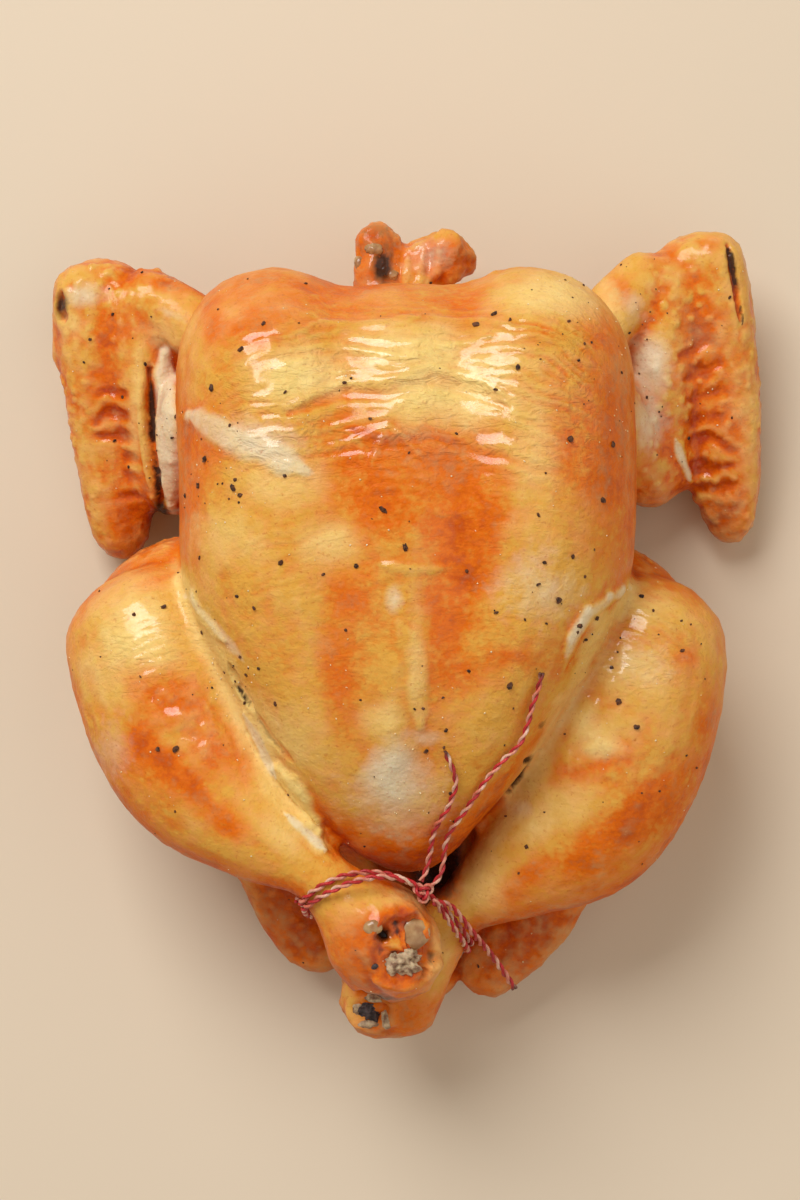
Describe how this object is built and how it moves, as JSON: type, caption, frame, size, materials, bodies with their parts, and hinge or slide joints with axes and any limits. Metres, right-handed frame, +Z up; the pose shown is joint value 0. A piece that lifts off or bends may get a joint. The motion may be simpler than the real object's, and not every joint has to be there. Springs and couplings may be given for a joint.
{
  "type": "roast chicken",
  "caption": "Whole roast chicken lying on its back, wings folded beside the breast, drumsticks crossed and tied at the ankles with twisted baker's twine.",
  "frame": {"origin": "on the surface the bird lies on, under the middle of its length and width", "axes": "+Z up out of the breast, +Y from the tail to the neck, +X to the viewer's right when looking down on the breast with the neck at the top"},
  "size_m": [0.2098, 0.2372, 0.1033],
  "materials": {
    "roast_skin": "basted roast skin, wet with fat, golden with orange and brown patches",
    "cotton_twine": "twisted cotton, one red and one white strand, soaked with fat"
  },
  "bodies": {
    "root": {"chicken": "roast_skin", "twine_loop": "cotton_twine", "twine_knot": "cotton_twine", "twine_tail_long": "cotton_twine", "twine_tail_short": "cotton_twine", "twine_tail_low": "cotton_twine"}
  },
  "joints": []
}
